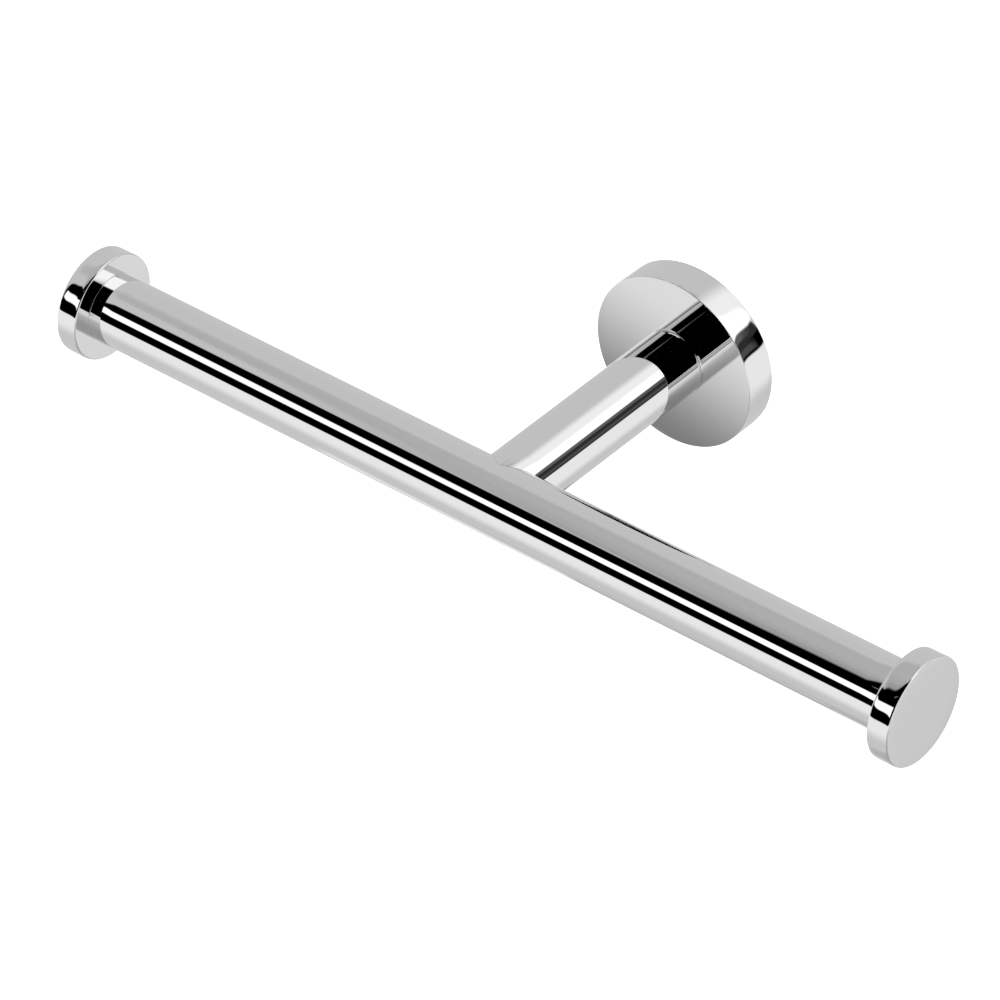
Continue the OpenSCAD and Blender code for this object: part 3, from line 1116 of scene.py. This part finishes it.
@dataclass
class Studio:
    """A pale studio round the object, with lamps and black flags for the chrome to mirror."""

    background: str = "#ffffff"
    floor_colour: str = "#dcdcdc"
    floor_drop: float = 700.0
    floor_half: float = 25000.0
    nadir_level: float = 0.45
    bands: tuple[Band, ...] = (
        Band(-68, -57, 0.66),
        Band(-49, -25, 0.96),
        Band(-1, 1, 0.63),
        Band(52, 59, 0.5),
    )
    panels: tuple[Panel, ...] = (
        Panel("left ceiling", ((-145, 45), (-72, 55), (-50, 75), (-145, 75)), 0.5, 4),
        Panel("front ceiling", ((-76, 58.5), (-44, 44.5), (-36, 58), (-60, 72)), 0.47, 3),
        Panel("front ceiling, darker part", ((-56, 58), (-44, 45), (-36, 58), (-50, 72)), 0.34, 9),
        Panel("left wall", ((-100, 20), (-100, -21), (-150, -21), (-155, 20)), 0.63, 2),
        Panel("left wall, foot", ((-60, 1), (-46, 1), (-46, 5.5), (-60, 5.5)), 0.05, 1.5),
        Panel("wall behind", ((-145, 20), (-145, -21), (144, -17), (142, 20)), 0.64, 3),
        Panel("front right floor", ((22, -15), (110, -15), (110, -80), (22, -80)), 0.6, 12),
        Panel("front right floor, near part", ((22, -28), (110, -28), (110, -80), (22, -80)), 0.42, 22),
        Panel("front right floor, dark edge", ((38, -9.5), (64, -9.5), (64, -5.5), (38, -5.5)), 0.33, 2),
        Panel("front right floor, bright edge", ((38, -4.5), (64, -4.5), (64, 2), (38, 2)), 1.3, 2),
        Panel("floor behind", ((145, -25), (-165, -25), (-165, -75), (145, -75)), 0.65, 12),
        Panel("glow round the soft box", ((98, 14), (178, 26), (178, 75), (98, 60)), 1.03, 18),
        Panel("soft box", ((98, 8), (148, 26), (146, 46), (98, 58)), 1.35, 7),
        Panel("right flag", ((118, 1), (141, 1), (140, 24), (118, 23)), 0.03, 3),
        Panel("right flag, upper part", ((118, 18), (132, 17.5), (134.5, 24), (118, 23)), 0.13, 3),
        Panel("right flag, lower part", ((118, 4.5), (130.8, 4), (130.8, 10), (118, 9.5)), 0.08, 2),
        Panel("right flag, foot", ((118, 1), (131, 1), (131, 3), (118, 3)), 0, 1.5),
        Panel("right flag, back", ((131, 1), (142, 1), (142, 14), (131.5, 14)), 0, 2),
        Panel("front flag, left", ((-46.5, -7.5), (-36, -7.5), (-36, 42), (-46.5, 38)), 0, 2),
        Panel("front flag, corner", ((-46.5, 22), (-48.3, 43.8), (-38, 43.2), (-36, 22)), 0, 2),
        Panel("front flag, low", ((-40, -7.5), (60, 0.5), (60, 36), (-39.5, 43)), 0, 2),
        Panel("front flag, high", ((-39, 38), (60, 26), (98, 70), (-58, 68)), 0, 2),
        Panel("front flag, right", ((20, -2), (96, 26), (96, 68), (20, 65)), 0, 3),
        Panel("front flag, gap", ((-33.8, 41.4), (-32.2, 40.6), (-27.2, 46.6), (-28.8, 47.4)), 0.2, 1.2),
        Panel("strip lamp, left", ((-41, 16), (-33, 12.5), (-33, 24), (-41, 28)), 1.35, 2),
        Panel("strip lamp, right", ((-33.5, 13), (-17, 8.5), (-17, 28), (-33.5, 24)), 1.35, 2),
    )
    # Glowing cards under the arm and the rose, dim towards the wall and brighter away from it: painted shade
    # under the holder, on a pale surface that glows in its place.
    near_cards: tuple[NearCard, ...] = (
        NearCard("card_under_the_arm",
                 ((95, -31, -51), (-20, -31, -51), (-20, -105, -51), (95, -105, -51)),
                 first_level=0.28, last_level=0.64, change_from=0, change_to=80, soft=5),
        NearCard("card_under_the_rose",
                 ((10, -23, -50), (-84, -39, -50), (-84, -107, -50), (10, -92, -50)),
                 first_level=0.23, last_level=0.86, change_from=4, change_to=52, soft=8),
    )

    def world(self) -> World:
        """Builds the world: white to the camera and to matt surfaces, bands and panels to mirrors.

        Returns:
            The world.
        """
        world = bpy.data.worlds.new("studio")
        world.use_nodes = True
        tree = world.node_tree
        tree.nodes.clear()
        way = add_node(tree, "ShaderNodeTexCoord").outputs["Generated"]
        height = add_node(tree, "ShaderNodeSeparateXYZ", links={0: way}).outputs[Z]
        nadir = add_node(tree, "ShaderNodeValue")
        nadir.outputs[0].default_value = self.nadir_level
        level = nadir.outputs[0]
        for band in self.bands:
            step = add_node(tree, "ShaderNodeMapRange",
                            {"From Min": math.sin(math.radians(band.low)),
                             "From Max": math.sin(math.radians(band.high))},
                            {"Value": height}, interpolation_type="SMOOTHSTEP").outputs[0]
            level = add_node(tree, "ShaderNodeMix", {"B": band.level},
                             {"Factor": step, "A": level}).outputs[0]
        for panel in self.panels:
            cover = soft_cover(tree, way, panel.edges(), 2 * math.sin(math.radians(panel.soft / 2)))
            level = add_node(tree, "ShaderNodeMix", {"B": panel.level},
                             {"Factor": cover, "A": level}).outputs[0]
        studio = add_node(tree, "ShaderNodeBackground", {"Color": WHITE}, {"Strength": level})
        white = add_node(tree, "ShaderNodeBackground", {"Color": linear_colour(self.background)})
        path = add_node(tree, "ShaderNodeLightPath")
        mix = add_node(tree, "ShaderNodeMixShader",
                       links={0: path.outputs["Is Glossy Ray"], 1: white.outputs[0],
                              2: studio.outputs[0]})
        add_node(tree, "ShaderNodeOutputWorld", links={"Surface": mix.outputs[0]})
        world.cycles.sampling_method = "NONE"
        bpy.context.scene.world = world
        return world

    def floor(self) -> Object:
        """Builds the pale floor, well below the object on its wall.

        From above it glows white to the camera, which hides the faint shadow of an object so far above it.
        From below it is clear, so that the underside of the object can be seen.

        Returns:
            The floor.
        """
        material = blank_material("pale_floor")
        tree = material.node_tree
        path = add_node(tree, "ShaderNodeLightPath")
        paint = add_node(tree, "ShaderNodeBsdfDiffuse", {"Color": linear_colour(self.floor_colour)})
        glow = add_node(tree, "ShaderNodeEmission", {"Color": linear_colour(self.background)},
                        {"Strength": path.outputs["Is Camera Ray"]})
        lit = add_node(tree, "ShaderNodeAddShader", links={0: paint.outputs[0], 1: glow.outputs[0]})
        clear = add_node(tree, "ShaderNodeBsdfTransparent")
        under = add_node(tree, "ShaderNodeNewGeometry").outputs["Backfacing"]
        mix = add_node(tree, "ShaderNodeMixShader",
                       links={0: under, 1: lit.outputs[0], 2: clear.outputs[0]})
        add_node(tree, "ShaderNodeOutputMaterial", links={"Surface": mix.outputs[0]})
        corners = np.array([(-1, -1), (1, -1), (1, 1), (-1, 1)]) * self.floor_half
        made = stage_quad("pale_floor", np.insert(corners, Z, -self.floor_drop, axis=-1), material)
        made.visible_glossy = False
        return made


@dataclass(frozen=True)
class Viewpoint:
    """Where the camera stands, found from the edges of the bar, the arm and the rose in the photograph."""

    azimuth: float = 39.056
    elevation: float = 38.032
    distance: float = 1915.1
    aside: float = 1.516
    rise: float = -0.555
    lens: float = 263.42
    sensor: float = 36.0
    sight: float = 100000.0

    def stand(self, target: Sequence[float]) -> Object:
        """Makes the scene's camera, which looks at a point but for a small step aside and up.

        Args:
            target: The point, in millimetres.

        Returns:
            The camera.
        """
        back = direction(self.azimuth, self.elevation)
        aside = Vector((0, 0, 1)).cross(back).normalized()
        rise = back.cross(aside)
        place = Vector(target) + back * self.distance + aside * self.aside + rise * self.rise
        data = bpy.data.cameras.new("camera")
        data.lens = self.lens
        data.sensor_width = self.sensor
        data.clip_end = self.sight * MM
        camera = add_object("camera", data)
        turn = Matrix((aside, rise, back)).transposed()
        camera.matrix_world = Matrix.Translation(place * MM) @ turn.to_4x4()
        bpy.context.scene.camera = camera
        return camera


def main() -> None:
    """Builds the holder's looks in order, and lights and frames them."""
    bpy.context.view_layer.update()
    chrome = BrightChrome().material()
    zinc = ZincPlate().material()
    steel = {turning: TurnedMetal("stainless_steel", "#c4c5c7", "#aeb0b3", turning).material()
             for turning in Turning}
    brass = {turning: TurnedMetal("brass", "#d9bf7c", "#c6a75f", turning).material()
             for turning in Turning}
    fixing = WallFixing()
    fixing.rose(chrome)
    fixing.plate(zinc)
    Arm().tube(chrome)
    bar = RollBar()
    bar.tube(chrome)
    bar.cap(-1, chrome)
    bar.cap(1, chrome)
    out, along = Turning.OUT_OF_THE_WALL, Turning.ALONG_THE_BAR
    dress_packed_nodes({
        "rose_grub_screw": steel[out],
        "locating_pin": steel[out],
        "tie_bolt": steel[out],
        "spring_washer": steel[out],
        "flat_washer": zinc,
        "arm_rear_plug": brass[out],
        "arm_front_plug": brass[out],
        "bar_core": brass[along],
        "left_end_plug": brass[along],
        "right_end_plug": brass[along],
        "left_cap_stud": steel[along],
        "right_cap_stud": steel[along],
    })
    studio = Studio()
    studio.world()
    studio.floor()
    for card in studio.near_cards:
        card.stand()
    Viewpoint().stand((0.0, bar.axis_y, 0.0))
    bpy.context.scene.view_settings.view_transform = "Standard"


if __name__ == "__main__":
    main()
